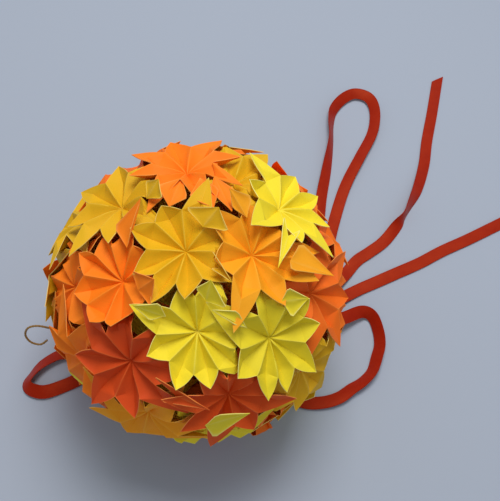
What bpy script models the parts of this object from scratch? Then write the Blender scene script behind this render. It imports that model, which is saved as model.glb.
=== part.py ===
# A kusudama ball of folded paper flowers, with a satin ribbon bow and a hanging loop. Metres, +Z up.
# Each flower is one square of paper, folded to eight V-shaped petals and glued to its neighbours at the rim.

import math

import bmesh
import bpy
import numpy as np
from mathutils import Vector

# Driving sizes of the ball and its flowers, in metres.
BALL_RADIUS = 0.060
FLOWER_COUNT = 52
GLUE_GAP = 0.0003
PAPER_THICKNESS = 0.0009

# The fold points of a flower, as heights from the ball's centre and distances from the flower's axis,
# both as shares of the ball's radius.
CUP_HEIGHT = 0.80
MID_RIDGE = (0.105, 0.885)
MID_VALLEY = (0.115, 0.830)
NOTCH = (0.226, 0.935)
RIM_VALLEY = (0.215, 0.880)
PLAIN_TIP_HEIGHT = 0.950
LONG_TIP_HEIGHT = 0.935
PLAIN_REACH = 0.31
LONG_REACH = 0.40
SHORTEST_VALLEY = 0.72

# Flowers whose place the photo shows: azimuth, elevation, paper and the bearings of the eight petals, all in
# degrees. The petals alternate between long and plain, starting with a long one.
PLACED_FLOWERS = {
    "01": (-116, 79, "golden", (160, 117, 72, 20, -37, -86, -119, -156)),
    "02": (-27, 68, "amber", (141, 97, 57, 14, -20, -62, -109, -160)),
    "03": (-91, 51, "lemon", (156, 111, 75, -2, -42, -76, -114, -160)),
    "04": (-148, 55, "orange", (147, 117, 79, 39, -4, -89, -121, -169)),
    "05": (-121, 32, "orange", (140, 95, 50, 5, -40, -85, -130, -175)),
    "06": (-78, 22, "orange", (165, 120, 75, 30, -15, -60, -105, -150)),
    "07": (-54, 40, "lemon", (149, 100, 50, 15, -38, -72, -98, -151)),
    "08": (24, 54, "lemon", (122, 72, 36, -2, -38, -76, -125, 173)),
    "09": (-21, 37, "orange", (130, 85, 40, -5, -50, -95, -140, 175)),
    "10": (99, 53, "orange", (150, 105, 60, 15, -30, -75, -120, -165)),
    "11": (60, 63, "golden", (145, 100, 55, 10, -35, -80, -125, -170)),
    "12": (155, 55, "golden", (135, 90, 45, 0, -45, -90, -135, 180)),
}

# Flowers that show only at the ball's outline: a first place, which evening out moves, and paper.
OUTLINE_FLOWERS = (
    (166, 30, "golden"),
    (-177, 8, "golden"),
    (-159, 0, "amber"),
    (136, 30, "orange"),
    (78, 25, "golden"),
    (24, 22, "orange"),
    (-3, 10, "orange"),
    (-129, -8, "lemon"),
    (-104, -14, "golden"),
    (-79, -13, "lemon"),
    (-57, -9, "orange"),
    (-36, -2, "golden"),
    (-18, 5, "orange"),
    (-159, 28, "orange"),
    (-43, 14, "golden"),
    (-136, 5, "orange"),
    (-106, 9, "amber"),
)

EVENING_STEPS = 240
EVENING_STEP_SIZE = 0.0016
HIDDEN_PAPERS = ("orange", "golden", "amber", "lemon", "orange")

# The satin ribbon.
RIBBON_WIDTH = 0.006
RIBBON_THICKNESS = 0.0004
RIBBON_REST = 0.0002
POINTS_PER_SPAN = 2
KNOT_SIZE = (0.0085, 0.0075, 0.0065)
KNOT_PLACE = (0.0445, 0.0105, 0.0140)

# Routes in millimetres: x, y, height of the middle of the band, and its lean from lying flat in degrees.
RIBBON_ROUTES = {
    "bow_loop_upper": (
        (42, 16, 11.5, 0), (47, 24, 5, 0), (53, 38, 1.5, 0), (59, 57, 1, 5), (63, 80, 1.5, 15),
        (67, 97, 2, 30), (71, 116, 3, 60), (72, 128, 3, 55), (74, 137, 3, 40), (80, 145, 3, 30),
        (87, 149, 3, 25), (94, 147, 3, 25), (97, 141, 3, 30), (97, 132, 2.5, 25), (94, 121, 2, 20),
        (86, 106, 2, 15), (78, 91, 1.5, 10), (73, 79, 1, 5), (67, 61, 1, 5), (60, 38, 3.5, 0),
        (50.5, 24, 11, 0), (45, 16, 16, 0),
    ),
    "ribbon_tail_long": (
        (50.7, 11.7, 16.5, 0), (59, 19, 10, 0), (65, 28, 4, 0), (72, 36, 1.2, 0), (78, 43, 1, 5),
        (85, 48, 1, 0), (93, 54, 1, 5), (100, 62, 1.5, 20), (105, 68, 3, 70), (109, 75, 3, 60),
        (115, 86, 2, 25), (121, 102, 1, 5), (125, 118, 0.7, 0), (131, 138, 0.6, 0),
        (138, 163, 0.6, 0),
    ),
    "ribbon_tail_side": (
        (50.5, 10.5, 12.5, 0), (59, 15.5, 6, 0), (68, 22, 2, 0), (77, 27, 1, 0), (86, 31, 1, 5),
        (97, 36, 1, 5), (110, 42, 0.8, 0), (123, 49, 0.8, 0), (138, 56, 0.8, 0), (156, 65, 0.8, 5),
        (174, 74, 0.8, 0), (193, 83, 0.6, 0),
    ),
    "bow_loop_lower": (
        (46, 3.3, 16, 0), (58, 5.5, 11, 10), (68, 10, 6.5, 20), (77, 14, 4.2, 30),
        (82, 12, 3.2, 45), (84, 5, 3, 45), (84, -2, 3, 40), (82, -8, 3, 35), (79, -15, 3, 40),
        (74, -20, 2.6, 35), (69, -23, 2.2, 25), (63, -27, 2, 15), (56, -29, 1.5, 10),
        (48, -29, 1, 5), (42, -26, 1, 5), (40, -18, 1.5, 5), (38.3, -9, 4.5, 0),
        (36.8, -2, 9.9, 0), (42, 5.7, 11.5, 0),
    ),
    "hanging_loop": (
        (-44.8, 7, 15.8, 5), (-51, 2, 8, 5), (-59, -4, 2, 10), (-65, -6, 2, 25),
        (-71, -10, 2.5, 35), (-75, -15, 3, 50), (-77, -19, 3, 45), (-75, -22, 3, 35),
        (-69, -23, 2, 15), (-61, -20, 1, 5), (-53, -16, 1.5, 5), (-46, -10, 5, 5),
        (-40, -4, 11.7, 5),
    ),
}
THREAD_RADIUS = 0.0004
THREAD_ROUTE = (
    (-50.9, -12.4, 47.8), (-57, -13, 51), (-63, -12.5, 53), (-67, -13, 52), (-68.5, -14.5, 48.5),
    (-67, -16, 45), (-63.5, -16.5, 43.5), (-60.5, -15.5, 45.5),
)

PAPER_COLOURS = {
    "orange": (0.90, 0.20, 0.01),
    "amber": (0.85, 0.36, 0.01),
    "golden": (0.72, 0.42, 0.01),
    "lemon": (0.68, 0.62, 0.04),
}
RIBBON_COLOUR = (0.55, 0.045, 0.01)
THREAD_COLOUR = (0.25, 0.12, 0.02)


def make_material(name, colour, roughness):
    material = bpy.data.materials.new(name)
    material.use_nodes = True
    shader = material.node_tree.nodes["Principled BSDF"]
    shader.inputs["Base Color"].default_value = (*colour, 1.0)
    shader.inputs["Roughness"].default_value = roughness
    shader.inputs["Metallic"].default_value = 0.0
    return material


def direction(azimuth, elevation):
    turn, rise = math.radians(azimuth), math.radians(elevation)
    return np.array((math.cos(rise) * math.cos(turn), math.cos(rise) * math.sin(turn), math.sin(rise)))


def lattice_directions(count):
    """Near-even directions over the sphere, on the golden spiral."""
    golden_turn = math.pi * (3 - math.sqrt(5))
    spread = []
    for k in range(count):
        height = 1 - (2 * k + 1) / count
        reach = math.sqrt(1 - height * height)
        spread.append(np.array((reach * math.cos(k * golden_turn), reach * math.sin(k * golden_turn), height)))
    return spread


def flower_layout():
    """Every flower's outward direction, its paper and its petal bearings.
    The placed flowers and the one that faces straight down stay, and the others push each other apart."""
    axes = [direction(azimuth, elevation) for azimuth, elevation, *_ in PLACED_FLOWERS.values()]
    papers = [paper for _, _, paper, _ in PLACED_FLOWERS.values()]
    bearings = [list(petals) for *_, petals in PLACED_FLOWERS.values()]
    axes.append(np.array((0.0, 0.0, -1.0)))
    papers.append("orange")
    fixed = len(axes)
    for azimuth, elevation, paper in OUTLINE_FLOWERS:
        axes.append(direction(azimuth, elevation))
        papers.append(paper)
    spare = lattice_directions(FLOWER_COUNT)
    while len(axes) < FLOWER_COUNT:
        # The next flower starts where the lattice is farthest from every flower so far.
        clearances = [min(float(np.linalg.norm(point - axis)) for axis in axes) for point in spare]
        axes.append(spare.pop(int(np.argmax(clearances))))
        papers.append(HIDDEN_PAPERS[len(axes) % len(HIDDEN_PAPERS)])
    axes = np.array(axes)
    for _ in range(EVENING_STEPS):
        apart = axes[:, None, :] - axes[None, :, :]
        distance = np.linalg.norm(apart, axis=2)
        np.fill_diagonal(distance, np.inf)
        push = (apart / distance[:, :, None] ** 4).sum(axis=1)
        axes[fixed:] += EVENING_STEP_SIZE * push[fixed:]
        axes /= np.linalg.norm(axes, axis=1)[:, None]
    for index in range(len(bearings), FLOWER_COUNT):
        # A long petal points at the nearest flower, where the two are glued.
        across, along = tangents(axes[index])
        nearest = axes[int(np.argsort(np.linalg.norm(axes - axes[index], axis=1))[1])]
        turn = math.degrees(math.atan2(float(along @ nearest), float(across @ nearest)))
        bearings.append([turn - 45 * petal for petal in range(8)])
    return axes, papers, bearings


def tangents(axis):
    """Two directions across the flower: the first as near +X as it can be."""
    across = np.array((1.0, 0.0, 0.0)) - axis[0] * axis
    if np.linalg.norm(across) < 1e-6:
        across = np.array((0.0, 1.0, 0.0))
    across /= np.linalg.norm(across)
    return across, np.cross(axis, across)


def reach_to_neighbours(outward, height, axis, others):
    """How far from the flower's axis a point at this height can lie and still clear every neighbour's cell."""
    limit = np.inf
    for other in others:
        toward = float(outward @ other)
        if toward > 1e-6:
            apart = float(np.linalg.norm(axis - other))
            room = height * (1 - float(axis @ other)) - 0.5 * GLUE_GAP * apart
            limit = min(limit, room / toward)
    return limit


def flower_sheet(axis, others, bearings):
    """The folded sheet's fold points, ring by ring from the cup to the tips, and the faces between them."""
    across, along = tangents(axis)
    turns = [math.radians(bearing) for bearing in bearings]
    points = [axis * CUP_HEIGHT * BALL_RADIUS]
    faces = []

    def place(turn, reach, height, share=1.0):
        outward = math.cos(turn) * across + math.sin(turn) * along
        height = height * BALL_RADIUS
        limit = share * reach_to_neighbours(outward, height, axis, others)
        points.append(axis * height + outward * min(reach * BALL_RADIUS, limit))
        return len(points) - 1

    mid_valleys, mid_ridges, rim_valleys, notches, tips = [], [], [], [], []
    for petal, turn in enumerate(turns):
        step = (turns[petal] - turns[(petal + 1) % 8]) % (2 * math.pi)
        ridge = turn - 0.5 * step
        is_long = petal % 2 == 0
        tip_height = LONG_TIP_HEIGHT if is_long else PLAIN_TIP_HEIGHT
        tip_reach = LONG_REACH if is_long else PLAIN_REACH
        mid_valleys.append(place(turn, *MID_VALLEY))
        mid_ridges.append(place(ridge, *MID_RIDGE))
        rim_valleys.append(place(turn, *RIM_VALLEY, share=SHORTEST_VALLEY))
        notches.append(place(ridge, *NOTCH))
        tips.append(place(turn, tip_reach, tip_height))
    for petal in range(8):
        before = petal - 1
        faces += [
            (0, mid_ridges[petal], mid_valleys[petal]),
            (0, mid_valleys[petal], mid_ridges[before]),
            (mid_valleys[petal], mid_ridges[petal], notches[petal], rim_valleys[petal]),
            (mid_ridges[before], mid_valleys[petal], rim_valleys[petal], notches[before]),
            (rim_valleys[petal], notches[petal], tips[petal]),
            (notches[before], rim_valleys[petal], tips[petal]),
        ]
    return points, faces


def thicken_toward_centre(mesh, thickness):
    """Gives the sheet its thickness towards the ball's centre, which keeps it inside its own cell."""
    work = bmesh.new()
    work.from_mesh(mesh)
    bmesh.ops.triangulate(work, faces=work.faces[:])
    bmesh.ops.recalc_face_normals(work, faces=work.faces[:])
    grown = bmesh.ops.extrude_face_region(work, geom=work.faces[:])
    for item in grown["geom"]:
        if isinstance(item, bmesh.types.BMVert):
            item.co -= item.co.normalized() * thickness
    bmesh.ops.recalc_face_normals(work, faces=work.faces[:])
    work.to_mesh(mesh)
    work.free()


def add_flower(collection, name, axis, others, bearings, material):
    points, faces = flower_sheet(axis, others, bearings)
    mesh = bpy.data.meshes.new(name)
    mesh.from_pydata([Vector(point) for point in points], [], faces)
    thicken_toward_centre(mesh, PAPER_THICKNESS)
    mesh.materials.append(material)
    flower = bpy.data.objects.new(name, mesh)
    collection.objects.link(flower)
    return flower


def stand_on_floor(flowers):
    """Puts the middle of the flowers' bounding box over the origin and their lowest point on the floor."""
    corners = np.array([vertex.co for flower in flowers for vertex in flower.data.vertices])
    low, high = corners.min(axis=0), corners.max(axis=0)
    centre = Vector((-(low[0] + high[0]) / 2, -(low[1] + high[1]) / 2, -low[2]))
    for flower in flowers:
        flower.location = centre


def smooth_route(points, spans):
    """A Catmull-Rom curve through the route's points, read at equal steps between each pair."""
    points = np.array(points, float)
    ends = np.vstack((2 * points[0] - points[1], points, 2 * points[-1] - points[-2]))
    route = []
    for k in range(len(points) - 1):
        a, b, c, d = ends[k : k + 4]
        for step in range(spans):
            t = step / spans
            bend = (2 * a - 5 * b + 4 * c - d) * t**2 + (3 * b - a - 3 * c + d) * t**3
            route.append(0.5 * (2 * b + (c - a) * t + bend))
    route.append(points[-1])
    return np.array(route)


def add_band(collection, name, route, material):
    """A flat band along its route. Its edge never dips under the floor, whatever its lean."""
    curve = bpy.data.curves.new(name, "CURVE")
    curve.dimensions = "3D"
    curve.twist_mode = "Z_UP"
    curve.extrude = RIBBON_WIDTH / 2 - RIBBON_THICKNESS / 2
    curve.bevel_depth = RIBBON_THICKNESS / 2
    curve.bevel_resolution = 0
    curve.use_fill_caps = True
    spline = curve.splines.new("POLY")
    path = smooth_route(route, POINTS_PER_SPAN)
    spline.points.add(len(path) - 1)
    for point, (x, y, z, lean) in zip(spline.points, path):
        drop = RIBBON_WIDTH / 2 * abs(math.sin(math.radians(lean))) + RIBBON_THICKNESS / 2 + RIBBON_REST
        point.co = (x / 1000, y / 1000, max(z / 1000, drop), 1.0)
        point.tilt = math.radians(90 - lean)
    curve.materials.append(material)
    band = bpy.data.objects.new(name, curve)
    collection.objects.link(band)
    return band


def add_thread(collection, material):
    curve = bpy.data.curves.new("thread_end", "CURVE")
    curve.dimensions = "3D"
    curve.bevel_depth = THREAD_RADIUS
    curve.bevel_resolution = 1
    curve.use_fill_caps = True
    spline = curve.splines.new("POLY")
    path = smooth_route(THREAD_ROUTE, POINTS_PER_SPAN)
    spline.points.add(len(path) - 1)
    for point, (x, y, z) in zip(spline.points, path):
        point.co = (x / 1000, y / 1000, z / 1000, 1.0)
    curve.materials.append(material)
    collection.objects.link(bpy.data.objects.new("thread_end", curve))


def add_knot(collection, material):
    mesh = bpy.data.meshes.new("bow_knot")
    work = bmesh.new()
    bmesh.ops.create_cube(work, size=1.0)
    bmesh.ops.scale(work, vec=KNOT_SIZE, verts=work.verts[:])
    rounding = min(KNOT_SIZE) * 0.28
    bmesh.ops.bevel(work, geom=work.edges[:], offset=rounding, segments=2, affect="EDGES", profile=0.6)
    work.to_mesh(mesh)
    work.free()
    mesh.materials.append(material)
    knot = bpy.data.objects.new("bow_knot", mesh)
    knot.location = KNOT_PLACE
    collection.objects.link(knot)


def main():
    for leftover in list(bpy.data.objects):
        bpy.data.objects.remove(leftover, do_unlink=True)
    collection = bpy.data.collections.new("kusudama_paper_ball")
    bpy.context.scene.collection.children.link(collection)
    papers = {name: make_material("paper_" + name, colour, 0.7) for name, colour in PAPER_COLOURS.items()}
    satin = make_material("ribbon_satin", RIBBON_COLOUR, 0.35)
    thread = make_material("thread", THREAD_COLOUR, 0.6)

    axes, paper_names, bearings = flower_layout()
    flowers = []
    for index, axis in enumerate(axes):
        others = [other for k, other in enumerate(axes) if k != index]
        name = f"flower_{index + 1:02d}"
        paper = papers[paper_names[index]]
        flowers.append(add_flower(collection, name, axis, others, bearings[index], paper))
    stand_on_floor(flowers)

    for name, route in RIBBON_ROUTES.items():
        add_band(collection, name, route, satin)
    add_knot(collection, satin)
    add_thread(collection, thread)


main()
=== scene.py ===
import math
import random

import bmesh
import bpy
import numpy as np
from mathutils.bvhtree import BVHTree
from mathutils import Matrix, Vector


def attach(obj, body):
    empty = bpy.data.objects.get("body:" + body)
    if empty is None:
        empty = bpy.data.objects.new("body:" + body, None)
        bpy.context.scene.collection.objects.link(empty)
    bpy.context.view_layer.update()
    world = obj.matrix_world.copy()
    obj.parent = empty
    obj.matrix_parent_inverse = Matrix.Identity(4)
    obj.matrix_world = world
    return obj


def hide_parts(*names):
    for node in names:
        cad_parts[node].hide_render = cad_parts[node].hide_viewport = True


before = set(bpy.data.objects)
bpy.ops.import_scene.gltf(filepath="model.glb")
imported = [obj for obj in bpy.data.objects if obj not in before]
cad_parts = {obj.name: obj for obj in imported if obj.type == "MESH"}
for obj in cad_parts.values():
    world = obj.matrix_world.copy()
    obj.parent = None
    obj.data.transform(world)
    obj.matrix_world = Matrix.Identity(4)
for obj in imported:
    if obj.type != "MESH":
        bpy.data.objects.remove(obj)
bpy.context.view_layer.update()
print("frame:", len(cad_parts), "nodes")

# Camera: the ball's middle at its place in the picture, seen from above and in front.
view = {
    "focalPixels": 727.0,
    "pictureWide": 500,
    "pictureHigh": 501,
    "distance": 0.2895,
    "elevation": 65.0,
    "ballPixel": (200.5, 291.0),
    "ballHeight": 0.058,
    "sensor": 36.0,
    "clipStart": 0.01,
}


def pixelRay(x, y):
    # The way from the lens to a place in the picture, in the camera's own axes.
    return Vector((x - view["pictureWide"] / 2, view["pictureHigh"] / 2 - y, -view["focalPixels"]))


def makeCamera():
    rise = math.radians(view["elevation"])
    back = Vector((0, -math.cos(rise), math.sin(rise)))
    up = Vector((0, math.sin(rise), math.cos(rise)))
    turn = Matrix((Vector((1, 0, 0)), up, back)).transposed()
    toBall = pixelRay(*view["ballPixel"])
    turn = turn @ toBall.normalized().rotation_difference(Vector((0, 0, -1))).to_matrix()
    data = bpy.data.cameras.new("camera")
    data.sensor_width = view["sensor"]
    data.lens = view["focalPixels"] / max(view["pictureWide"], view["pictureHigh"]) * view["sensor"]
    data.clip_start = view["clipStart"]
    camera = bpy.data.objects.new("camera", data)
    place = Vector((0, 0, view["ballHeight"])) + back * view["distance"]
    camera.matrix_world = Matrix.Translation(place) @ turn.to_4x4()
    bpy.context.collection.objects.link(camera)
    bpy.context.scene.camera = camera


makeCamera()


# Small helpers for node trees, materials and objects.
def addNode(tree, kind, inputs=None, **settings):
    node = tree.nodes.new(kind)
    for name, value in settings.items():
        setattr(node, name, value)
    for key, value in (inputs or {}).items():
        if isinstance(value, bpy.types.NodeSocket):
            tree.links.new(value, node.inputs[key])
        else:
            node.inputs[key].default_value = value
    return node


def mathNode(tree, operation, a, b=None, c=None, clamp=False):
    node = addNode(tree, "ShaderNodeMath", operation=operation, use_clamp=clamp)
    for socket, value in zip(node.inputs, (a, b, c)):
        if isinstance(value, bpy.types.NodeSocket):
            tree.links.new(value, socket)
        elif value is not None:
            socket.default_value = value
    return node.outputs[0]


def newMaterial(name):
    material = bpy.data.materials.new(name)
    material.use_nodes = True
    return material, material.node_tree, material.node_tree.nodes["Principled BSDF"]


def addObject(name, data):
    made = bpy.data.objects.new(name, data)
    bpy.context.collection.objects.link(made)
    return made


def meshObject(name, mesh, material):
    # Turns a finished bmesh into an object of that name.
    data = bpy.data.meshes.new(name)
    mesh.to_mesh(data)
    mesh.free()
    data.materials.append(material)
    return addObject(name, data)


def noiseNode(tree, place, scale, detail, **inputs):
    values = {"Vector": place, "Scale": scale, "Detail": detail, **inputs}
    return addNode(tree, "ShaderNodeTexNoise", values).outputs["Fac"]


def mixColour(tree, factor, a, b):
    node = addNode(tree, "ShaderNodeMix", data_type="RGBA")
    for socket, value in ((node.inputs[0], factor), (node.inputs[6], a), (node.inputs[7], b)):
        if isinstance(value, bpy.types.NodeSocket):
            tree.links.new(value, socket)
        else:
            socket.default_value = value
    return node.outputs[2]


def newGroup(name, kind, inputs, outputs):
    tree = bpy.data.node_groups.new(name, kind)
    for label, socketType, default in inputs:
        socket = tree.interface.new_socket(name=label, in_out="INPUT", socket_type=socketType)
        if default is not None:
            socket.default_value = default
    for label, socketType in outputs:
        tree.interface.new_socket(name=label, in_out="OUTPUT", socket_type=socketType)
    return tree, tree.nodes.new("NodeGroupInput"), tree.nodes.new("NodeGroupOutput")


grain = {
    "cloudScale": 70.0,
    "cloudDetail": 3.0,
    "cloudHeight": 0.35,
    "fibreScale": 1500.0,
    "fibreDetail": 4.0,
    "fibreRoughness": 0.65,
    "fibreShade": 0.10,
    "edge": 0.5,
    "edgeSharpness": 1.6,
    "crease": 0.15,
    "creaseSharpness": 2.0,
    "roughness": 0.60,
    "roughnessSpread": 0.14,
    "bumpStrength": 0.25,
    "bumpDistance": 0.0002,
    "specular": 0.28,
}


def paperGrainGroup():
    # Colour that drifts a little, pale cut edges, rubbed creases and a fine fibre surface.
    tree, given, result = newGroup(
        "paperGrain",
        "ShaderNodeTree",
        (
            ("Colour", "NodeSocketColor", None),
            ("Deep", "NodeSocketColor", None),
            ("Pale", "NodeSocketColor", None),
            ("Drift", "NodeSocketFloat", None),
            ("Edge", "NodeSocketFloat", grain["edge"]),
            ("Crease", "NodeSocketFloat", grain["crease"]),
        ),
        (("Colour", "NodeSocketColor"), ("Roughness", "NodeSocketFloat"), ("Height", "NodeSocketFloat")),
    )
    place = addNode(tree, "ShaderNodeTexCoord").outputs["Object"]
    cloud = noiseNode(tree, place, grain["cloudScale"], grain["cloudDetail"])
    rough = grain["fibreRoughness"]
    fibre = noiseNode(tree, place, grain["fibreScale"], grain["fibreDetail"], Roughness=rough)
    rim = addNode(tree, "ShaderNodeAttribute", attribute_name="rim").outputs["Fac"]
    fold = addNode(tree, "ShaderNodeAttribute", attribute_name="fold").outputs["Fac"]
    tone = addNode(tree, "ShaderNodeAttribute", attribute_name="tone").outputs["Fac"]
    # Mixed toward the deep colour by the sheet's tone; on flower_05 and flower_06 this deep colour is
    # painted shade.
    sheetColour = mixColour(tree, tone, given.outputs["Colour"], given.outputs["Deep"])
    cloudShift = mathNode(tree, "MULTIPLY", mathNode(tree, "SUBTRACT", cloud, 0.5), given.outputs["Drift"])
    fibreShift = mathNode(tree, "MULTIPLY", mathNode(tree, "SUBTRACT", fibre, 0.5), grain["fibreShade"])
    value = mathNode(tree, "ADD", mathNode(tree, "ADD", cloudShift, fibreShift), 1.0)
    shaded = addNode(tree, "ShaderNodeHueSaturation", {"Color": sheetColour, "Value": value}).outputs[0]
    nearFold = mathNode(tree, "POWER", fold, grain["creaseSharpness"])
    nearRim = mathNode(tree, "POWER", rim, grain["edgeSharpness"])
    atFold = mathNode(tree, "MULTIPLY", nearFold, given.outputs["Crease"])
    atRim = mathNode(tree, "MULTIPLY", nearRim, given.outputs["Edge"])
    creased = mixColour(tree, atFold, shaded, given.outputs["Pale"])
    edged = mixColour(tree, atRim, creased, given.outputs["Pale"])
    tree.links.new(edged, result.inputs["Colour"])
    roughness = mathNode(tree, "MULTIPLY_ADD", fibre, grain["roughnessSpread"], grain["roughness"])
    tree.links.new(roughness, result.inputs["Roughness"])
    height = mathNode(tree, "MULTIPLY_ADD", cloud, grain["cloudHeight"], fibre)
    tree.links.new(height, result.inputs["Height"])
    return tree


paperGrain = paperGrainGroup()

papers = {
    "paper_orange": {
        "colour": (0.98, 0.235, 0.006), "deep": (0.72, 0.075, 0.006),
        "pale": (1.0, 0.46, 0.10), "drift": 0.16,
    },
    "paper_amber": {
        "colour": (0.93, 0.395, 0.008), "deep": (0.88, 0.25, 0.008),
        "pale": (1.0, 0.62, 0.14), "drift": 0.14,
    },
    "paper_golden": {
        "colour": (0.80, 0.455, 0.006), "deep": (0.62, 0.38, 0.006),
        "pale": (0.98, 0.80, 0.26), "drift": 0.14,
    },
    "paper_lemon": {
        "colour": (0.90, 0.73, 0.025), "deep": (0.74, 0.62, 0.020),
        "pale": (0.98, 0.94, 0.42), "drift": 0.12,
    },
}


def linkSurface(tree, shader, surface, strength, distance):
    relief = {"Strength": strength, "Distance": distance, "Height": surface.outputs["Height"]}
    bump = addNode(tree, "ShaderNodeBump", relief)
    tree.links.new(surface.outputs["Colour"], shader.inputs["Base Color"])
    tree.links.new(surface.outputs["Roughness"], shader.inputs["Roughness"])
    tree.links.new(bump.outputs[0], shader.inputs["Normal"])


def paperMaterial(name, look):
    material, tree, shader = newMaterial(name)
    surface = addNode(tree, "ShaderNodeGroup", node_tree=paperGrain)
    for label in ("colour", "deep", "pale"):
        surface.inputs[label.capitalize()].default_value = (*look[label], 1)
    surface.inputs["Drift"].default_value = look["drift"]
    linkSurface(tree, shader, surface, grain["bumpStrength"], grain["bumpDistance"])
    shader.inputs["Specular IOR Level"].default_value = grain["specular"]
    return material


paperMaterials = {name: paperMaterial(name, look) for name, look in papers.items()}

satin = {
    "colour": (0.27, 0.006, 0.002),
    # A brighter red, mixed into the base colour as painted sheen.
    "paintedSheenColour": (0.46, 0.028, 0.005),
    "ribsPerMetre": 3600.0,
    "threadsPerMetre": 5200.0,
    "width": 0.006,
    "selvedge": 0.0007,
    "roughness": 0.42,
    "ribShade": 0.10,
    "warpShade": 0.06,
    "paintedSheenShare": 0.35,
    "slubScale": 220.0,
    "slubDetail": 3.0,
    "slubShade": 0.5,
    "edgeColour": (0.30, 0.018, 0.004),
    "edgeShade": 0.45,
    "edgeRoughness": 0.25,
    "ribHeight": 0.5,
    "warpHeight": 0.3,
    "bumpStrength": 0.35,
    "bumpDistance": 0.00008,
    "specular": 0.5,
    "specularTint": (1.0, 0.26, 0.10),
}


def satinWeaveGroup():
    # Long warp floats crossed by fine weft ribs, and a firmer woven edge. The colour is mixed toward a
    # brighter painted sheen by an even share, which the ribs, the warp and the slubs shift.
    tree, given, result = newGroup(
        "satinWeave",
        "ShaderNodeTree",
        (
            ("Colour", "NodeSocketColor", None),
            ("Bright", "NodeSocketColor", None),
            ("Width", "NodeSocketFloat", satin["width"]),
        ),
        (("Colour", "NodeSocketColor"), ("Roughness", "NodeSocketFloat"), ("Height", "NodeSocketFloat")),
    )
    along = addNode(tree, "ShaderNodeAttribute", attribute_name="along").outputs["Fac"]
    across = addNode(tree, "ShaderNodeAttribute", attribute_name="across").outputs["Fac"]
    place = addNode(tree, "ShaderNodeTexCoord").outputs["Object"]
    ribs = mathNode(tree, "SINE", mathNode(tree, "MULTIPLY", along, satin["ribsPerMetre"] * math.pi))
    warp = mathNode(tree, "SINE", mathNode(tree, "MULTIPLY", across, satin["threadsPerMetre"] * math.pi))
    slub = noiseNode(tree, place, satin["slubScale"], satin["slubDetail"])
    half = mathNode(tree, "MULTIPLY", given.outputs["Width"], 0.5)
    inset = mathNode(tree, "SUBTRACT", half, mathNode(tree, "ABSOLUTE", across))
    edge = addNode(
        tree,
        "ShaderNodeMapRange",
        {"Value": inset, "From Min": 0.0, "From Max": satin["selvedge"], "To Min": 1.0, "To Max": 0.0},
    ).outputs[0]
    warpTone = mathNode(tree, "MULTIPLY_ADD", warp, satin["warpShade"], satin["paintedSheenShare"])
    weave = mathNode(tree, "MULTIPLY_ADD", ribs, satin["ribShade"], warpTone)
    slubTone = mathNode(tree, "MULTIPLY_ADD", slub, satin["slubShade"], -satin["slubShade"] / 2)
    shift = mathNode(tree, "ADD", weave, slubTone, clamp=True)
    # Painted sheen: the base colour mixed toward the brighter red.
    base = mixColour(tree, shift, given.outputs["Colour"], given.outputs["Bright"])
    atEdge = mathNode(tree, "MULTIPLY", edge, satin["edgeShade"])
    dark = mixColour(tree, atEdge, base, (*satin["edgeColour"], 1))
    tree.links.new(dark, result.inputs["Colour"])
    roughness = mathNode(tree, "MULTIPLY_ADD", edge, satin["edgeRoughness"], satin["roughness"])
    tree.links.new(roughness, result.inputs["Roughness"])
    warpRelief = mathNode(tree, "MULTIPLY_ADD", warp, satin["warpHeight"], edge)
    height = mathNode(tree, "MULTIPLY_ADD", ribs, satin["ribHeight"], warpRelief)
    tree.links.new(height, result.inputs["Height"])
    return tree


def satinMaterial():
    material, tree, shader = newMaterial("ribbon_satin")
    weave = addNode(tree, "ShaderNodeGroup", node_tree=satinWeaveGroup())
    weave.inputs["Colour"].default_value = (*satin["colour"], 1)
    weave.inputs["Bright"].default_value = (*satin["paintedSheenColour"], 1)
    linkSurface(tree, shader, weave, satin["bumpStrength"], satin["bumpDistance"])
    shader.inputs["Specular IOR Level"].default_value = satin["specular"]
    shader.inputs["Specular Tint"].default_value = (*satin["specularTint"], 1)
    return material


satinFinish = satinMaterial()

threadLook = {
    "dark": (0.14, 0.06, 0.012),
    "light": (0.42, 0.24, 0.05),
    "fuzzScale": 2600.0,
    "fuzzDetail": 3.0,
    "bumpStrength": 0.4,
    "bumpDistance": 0.0001,
    "roughness": 0.6,
}


def threadMaterial():
    material, tree, shader = newMaterial("thread")
    place = addNode(tree, "ShaderNodeTexCoord").outputs["Object"]
    fuzz = noiseNode(tree, place, threadLook["fuzzScale"], threadLook["fuzzDetail"])
    colour = mixColour(tree, fuzz, (*threadLook["dark"], 1), (*threadLook["light"], 1))
    relief = {"Strength": threadLook["bumpStrength"], "Distance": threadLook["bumpDistance"], "Height": fuzz}
    bump = addNode(tree, "ShaderNodeBump", relief)
    tree.links.new(colour, shader.inputs["Base Color"])
    tree.links.new(bump.outputs[0], shader.inputs["Normal"])
    shader.inputs["Roughness"].default_value = threadLook["roughness"]
    return material


threadFinish = threadMaterial()
print("materials ready")

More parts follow.
